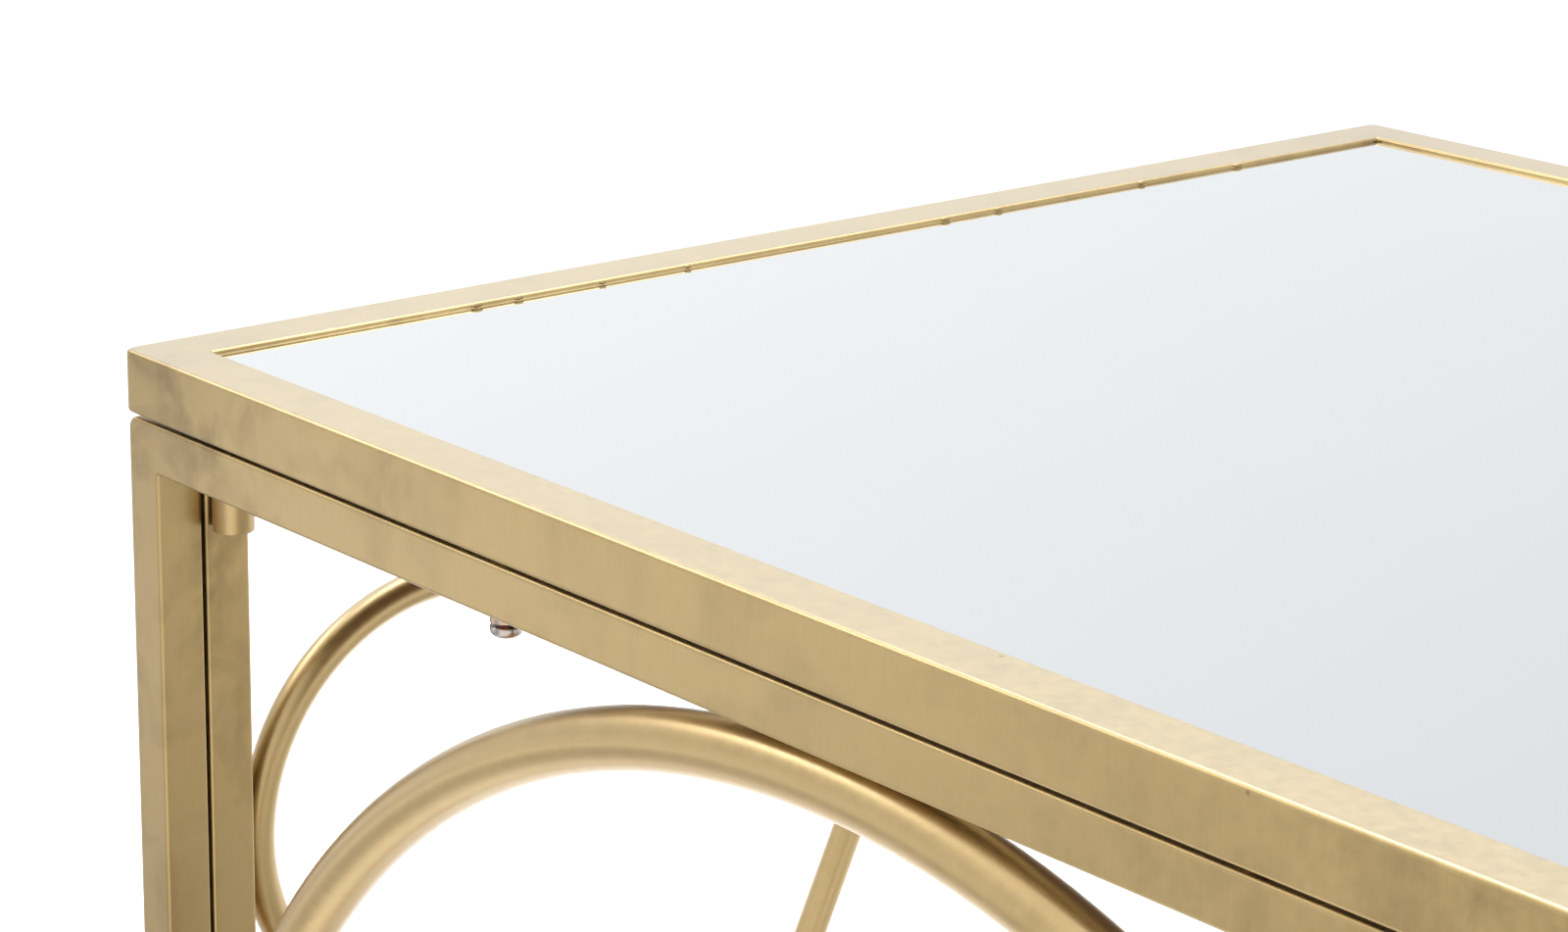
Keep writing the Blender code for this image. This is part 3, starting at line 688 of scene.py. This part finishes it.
def build_tray_screw(side, end):
    """A screw up through the panel's rail, its washer, and the rivet nut it threads into."""
    node = "tray_screw_" + side + "_" + end
    washer = "tray_washer_" + side + "_" + end
    low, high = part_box(node)
    middle = extent(node)[0]
    head_z = low.z + SCREW_HEAD_HEIGHT
    mesh = screw_mesh(node, high.z - head_z)
    mesh.transform(Matrix.Translation((middle.x, middle.y, head_z))
                   @ Matrix.Rotation(math.pi, 4, "X"))
    add_piece(node + "_steel", mesh, ZINC, [node])
    add_piece(washer + "_steel", washer_mesh(washer), ZINC, [washer])
    tray_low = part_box("tray_rail_" + side)[0].z
    rail_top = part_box(side + "_rail_top")[1].z
    drop = (tray_low - rail_top) * 0.62
    radius = RIVET_FLANGE / 2
    nut = turned("flange", [
        (BOLT_BORE, 0), (radius, 0), (radius, -drop * 0.6), (radius - 0.5 * MM, -drop),
        (BOLT_BORE, -drop)], 40)
    nut.transform(Matrix.Translation((middle.x, middle.y, tray_low)))
    add_piece("rivet_nut_" + side + "_" + end, nut, SQUARE_TUBE_GOLD)


def build_link_screw(place, direction):
    """A screw from a side panel's leg into the leg of a ring panel."""
    node = "link_screw_" + place
    low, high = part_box(node)
    middle = extent(node)[0]
    # the head is the end towards the middle of the table
    head_y = high.y - SCREW_HEAD_HEIGHT if direction < 0 else low.y + SCREW_HEAD_HEIGHT
    mesh = screw_mesh(node, high.y - low.y - SCREW_HEAD_HEIGHT)
    turn = Matrix.Rotation(direction * math.pi / 2, 4, "X")
    mesh.transform(Matrix.Translation((middle.x, head_y, middle.z)) @ turn)
    add_piece(node + "_steel", mesh, ZINC, [node])


def build_sleeve(place, side_x, side_y):
    """The spacer sleeve with its counterbore, and a lump of weld on its inner side."""
    node = "corner_sleeve_" + place
    middle, size = extent(node)
    outer = size.x / 2
    half = size.z / 2
    edge = 0.7 * MM
    recess = 4.75 * MM      # radius of the counterbore, 8 mm deep
    mesh = turned(node, [
        (outer, half), (outer, edge - half), (outer - edge * 0.3, edge * 0.3 - half),
        (outer - edge, -half), (recess, -half), (recess, 8 * MM - half),
        (BOLT_BORE, 8 * MM - half), (BOLT_BORE, half)], 56)
    mesh.transform(Matrix.Translation(middle))
    add_piece(node + "_tube", mesh, ROUND_TUBE_GOLD, [node])
    # the lump sits near the lower end
    bead = weld_bead(5 * MM, 0.9 * MM)
    inward = Vector((-side_x * 0.66, -side_y * 0.75, 0)) * (outer - 0.2 * MM)
    spot = middle + inward - Vector((0, 0, half - 7 * MM))
    parts = [(bead, Matrix.Translation(spot) @ Matrix.Rotation(math.pi / 2, 4, "Y"))]
    add_piece(node + "_welds", joined(node + "_welds", parts), ROUND_TUBE_GOLD)


# ---------------------------------------------------------------- levelling feet
def build_foot(place):
    """A levelling foot: a moulded pad with a groove round it, and its threaded stud."""
    body = "foot_" + place
    node = "foot_pad_" + place
    low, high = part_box(node)
    middle = (low + high) / 2
    radius = (high.x - low.x) / 2
    height = high.z - low.z
    pad = [
        (3.3 * MM, height - 4 * MM), (3.3 * MM, height - 0.4 * MM), (3.8 * MM, height),
        (radius - 1.6 * MM, height), (radius - 0.5 * MM, height - 0.5 * MM),
        (radius, height - 1.4 * MM), (radius, height * 0.55), (radius - 0.4 * MM, height * 0.5),
        (radius - 0.4 * MM, height * 0.44), (radius, height * 0.39), (radius, 1.2 * MM),
        (radius - 0.5 * MM, 0.3 * MM), (radius - 1.2 * MM, 0), (2 * MM, 0),
        (2 * MM, 1.4 * MM), (1.2 * MM, 1.4 * MM), (1.2 * MM, height - 4.6 * MM),
        (0.6 * MM, height - 4.3 * MM)]
    mesh = turned(node, pad, 56)
    mesh.transform(Matrix.Translation((middle.x, middle.y, low.z)))
    add_piece(node + "_moulding", mesh, NYLON, [node], body)

    node = "foot_stud_" + place
    low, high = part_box(node)
    radius = (high.x - low.x) / 2
    rows = round((high.z - low.z) / (THREAD_PITCH / 6))
    step = (high.z - low.z - 1.2 * MM) / rows
    stud = [(0, high.z), (radius - 0.9 * MM, high.z)]
    stud += [(radius, high.z - 0.6 * MM - step * i) for i in range(rows + 1)]
    stud += [(radius - 0.9 * MM, low.z), (0, low.z)]
    mesh = turned(node, stud, 24, thread)
    mesh.transform(Matrix.Translation((middle.x, middle.y, 0)))
    add_piece(node + "_thread", mesh, ZINC, [node], body)


# ---------------------------------------------------------------- top
def build_lip_runs():
    """Small runs of lacquer along the inside of the tray's left rail."""
    low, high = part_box("tray_rail_left")
    glass_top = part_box("mirror_glass")[1].z
    inner_x = high.x
    depth = high.z - glass_top
    parts = []
    for along, width in LIP_RUNS:
        bead = weld_bead(width * MM, 0.55 * MM)
        spot = Matrix.Translation((inner_x, low.y + along * MM, glass_top + depth * 0.52))
        parts.append((bead, spot @ Matrix.Rotation(math.pi / 2, 4, "Z")
                      @ Matrix.Diagonal((1, 1, 1.5, 1))))
    add_piece("lip_lacquer_runs", joined("lip_lacquer_runs", parts),
              SQUARE_TUBE_GOLD)


build_tray_frame()
for panel, legs in (("front", ("left", "right")), ("back", ("left", "right")),
                    ("left", ("front", "back")), ("right", ("front", "back"))):
    build_panel_frame(panel, legs)
for panel in ("front", "back"):
    build_ring(panel)
    for end in ("left", "right"):
        build_tray_screw(panel, end)
for panel in ("left", "right"):
    build_loop(panel)
for corner_name, (toward_x, toward_y) in CORNERS.items():
    build_link_screw(corner_name, toward_y)
    build_sleeve(corner_name, toward_x, toward_y)
    build_foot(corner_name)
build_lip_runs()

carried = {"mirror_glass": GLASS, "backing_board": HARDBOARD}
for corner_name in CORNERS:
    carried["gusset_" + corner_name] = BLACK_STEEL
    carried["sleeve_bolt_" + corner_name] = ZINC
for node_name, finish in carried.items():
    node_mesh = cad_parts[node_name].data
    node_mesh.materials.clear()
    node_mesh.materials.append(finish)


# ---------------------------------------------------------------- floor, light and camera
def build_floor():
    """A wide, matt white floor with a faint painted glow, a painted pool of light in a ring of
    painted grey shade, and a painted shadow under the table.
    """
    shape = bmesh.new()
    bmesh.ops.create_grid(shape, x_segments=8, y_segments=8, size=14)
    mesh = mesh_from(shape, "floor")
    mesh.transform(Matrix.Translation((0, 0, cad_low[2])))
    floor = helper("floor", mesh)
    material, tree, shader, place = new_material("matt_studio_floor", {
        "Roughness": 0.9, "IOR": 1.4})
    shade = add_node(tree, "TexNoise", {"Scale": 1.5, "Detail": 2}, {"Vector": place})
    white = add_node(tree, "Mix", {
        "data_type": "RGBA", 6: linear("F6F6F6"), 7: linear("FAFAFA")},
        {0: shade.outputs["Fac"]})
    # a painted pool of light to the left front, in a ring of painted grey shade that ends before
    # the white sweep
    away = add_node(tree, "VectorMath", {"operation": "DISTANCE", 1: LIGHT_POOL}, {0: place})
    reach = add_node(tree, "MapRange", {"From Max": 2.0}, {"Value": away.outputs["Value"]})
    pool = add_node(tree, "ValToRGB", {}, {"Fac": reach.outputs[0]})
    pool.color_ramp.interpolation = "EASE"
    stops = pool.color_ramp.elements
    stops[0].position, stops[0].color = 0.18, (1, 1, 1, 1)
    stops[1].position, stops[1].color = 0.46, (0.2, 0.2, 0.2, 1)
    for position, level in ((0.72, 0.2), (0.98, 1)):
        stops.new(position).color = (level, level, level, 1)
    # painted shadow on the floor under the table: 0.3 of the light within 0.45 m of its middle,
    # full light beyond 1.2 m
    under = add_node(tree, "VectorMath", {"operation": "DISTANCE", 1: UNDER_TABLE}, {0: place})
    under_table_painted_shadow = add_node(tree, "MapRange", {
        "interpolation_type": "SMOOTHSTEP", "From Min": 0.45, "From Max": 1.2,
        "To Min": 0.3, "To Max": 1.0}, {"Value": under.outputs["Value"]})
    lit = add_node(tree, "Math", {"operation": "MULTIPLY"},
                   {0: pool.outputs["Color"], 1: under_table_painted_shadow.outputs[0]})
    # painted grey shade where the painted light is low, white where it is full
    colour = add_node(tree, "Mix", {"data_type": "RGBA", 6: linear("8C8A86")},
                      {0: lit.outputs[0], 7: white.outputs[2]})
    # painted glow: the floor emits light in step with its painted pool of light, though it is no
    # lamp
    glow = add_node(tree, "Mix", {"data_type": "RGBA", 6: (0, 0, 0, 1), 7: (1, 1, 1, 1)},
                    {0: lit.outputs[0]})
    tree.links.new(colour.outputs[2], shader.inputs["Base Color"])
    tree.links.new(glow.outputs[2], shader.inputs["Emission Color"])
    shader.inputs["Emission Strength"].default_value = 0.2
    mesh.materials.append(material)


def add_light(name, size, watts, location, target):
    data = bpy.data.lights.new(name, "AREA")
    data.shape = "RECTANGLE"
    data.size, data.size_y = size
    data.energy = watts
    light = helper(name, data)
    light.location = location
    aim = Vector(target) - Vector(location)
    light.rotation_euler = aim.to_track_quat("-Z", "Y").to_euler()
    light.visible_camera = False
    return light


def build_studio():
    """Soft white surroundings, one large overhead box, and a softbox high at the left front."""
    world = bpy.data.worlds.new("studio")
    bpy.context.scene.world = world
    world.use_nodes = True
    tree = world.node_tree
    around = add_node(tree, "TexCoord", {}, {}).outputs["Generated"]
    # brightest low at the back left, falling off to the right and upwards
    tilt = add_node(tree, "VectorMath", {"operation": "DOT_PRODUCT", 1: FALL_OFF}, {0: around})
    bright = add_node(tree, "MapRange", {
        "From Min": 0.0, "From Max": 0.2, "To Min": 1.17, "To Max": 0.96},
        {"Value": tilt.outputs["Value"]})
    # dark towards the left front, low down
    dark = add_node(tree, "VectorMath", {
        "operation": "DOT_PRODUCT", 1: Vector(DARK_SIDE).normalized()}, {0: around})
    share = add_node(tree, "MapRange", {
        "interpolation_type": "SMOOTHSTEP", "From Min": 0.55, "From Max": 0.95,
        "To Min": 1.0, "To Max": 0.7}, {"Value": dark.outputs["Value"]})
    level = add_node(tree, "Math", {"operation": "MULTIPLY"},
                     {0: bright.outputs[0], 1: share.outputs[0]})
    colour = add_node(tree, "Mix", {
        "data_type": "RGBA", 6: (0, 0, 0, 1), 7: (1.0, 1.0, 0.995, 1)}, {0: level.outputs[0]})
    colour.clamp_factor = False
    tree.links.new(colour.outputs[2], tree.nodes["Background"].inputs["Color"])
    add_light("overhead_box", (2.4, 2.4), 60, (-0.4, 0.5, 3.0), (0, 0, 0.6))
    add_light("left_front_box", (1.1, 0.5), 10, (-1.85, -0.95, 2.15), (-0.1, -0.2, 0.65))


def build_camera():
    data = bpy.data.cameras.new("camera")
    data.sensor_width = 36
    data.lens = 88.55
    camera = helper("camera", data)
    camera.location = (0.71057, -0.95033, 1.03918)
    camera.rotation_euler = [math.radians(a) for a in (73.2595, -1.2004, 48.8984)]
    bpy.context.scene.camera = camera


build_floor()
build_studio()
build_camera()
bpy.context.scene.view_settings.view_transform = "Standard"
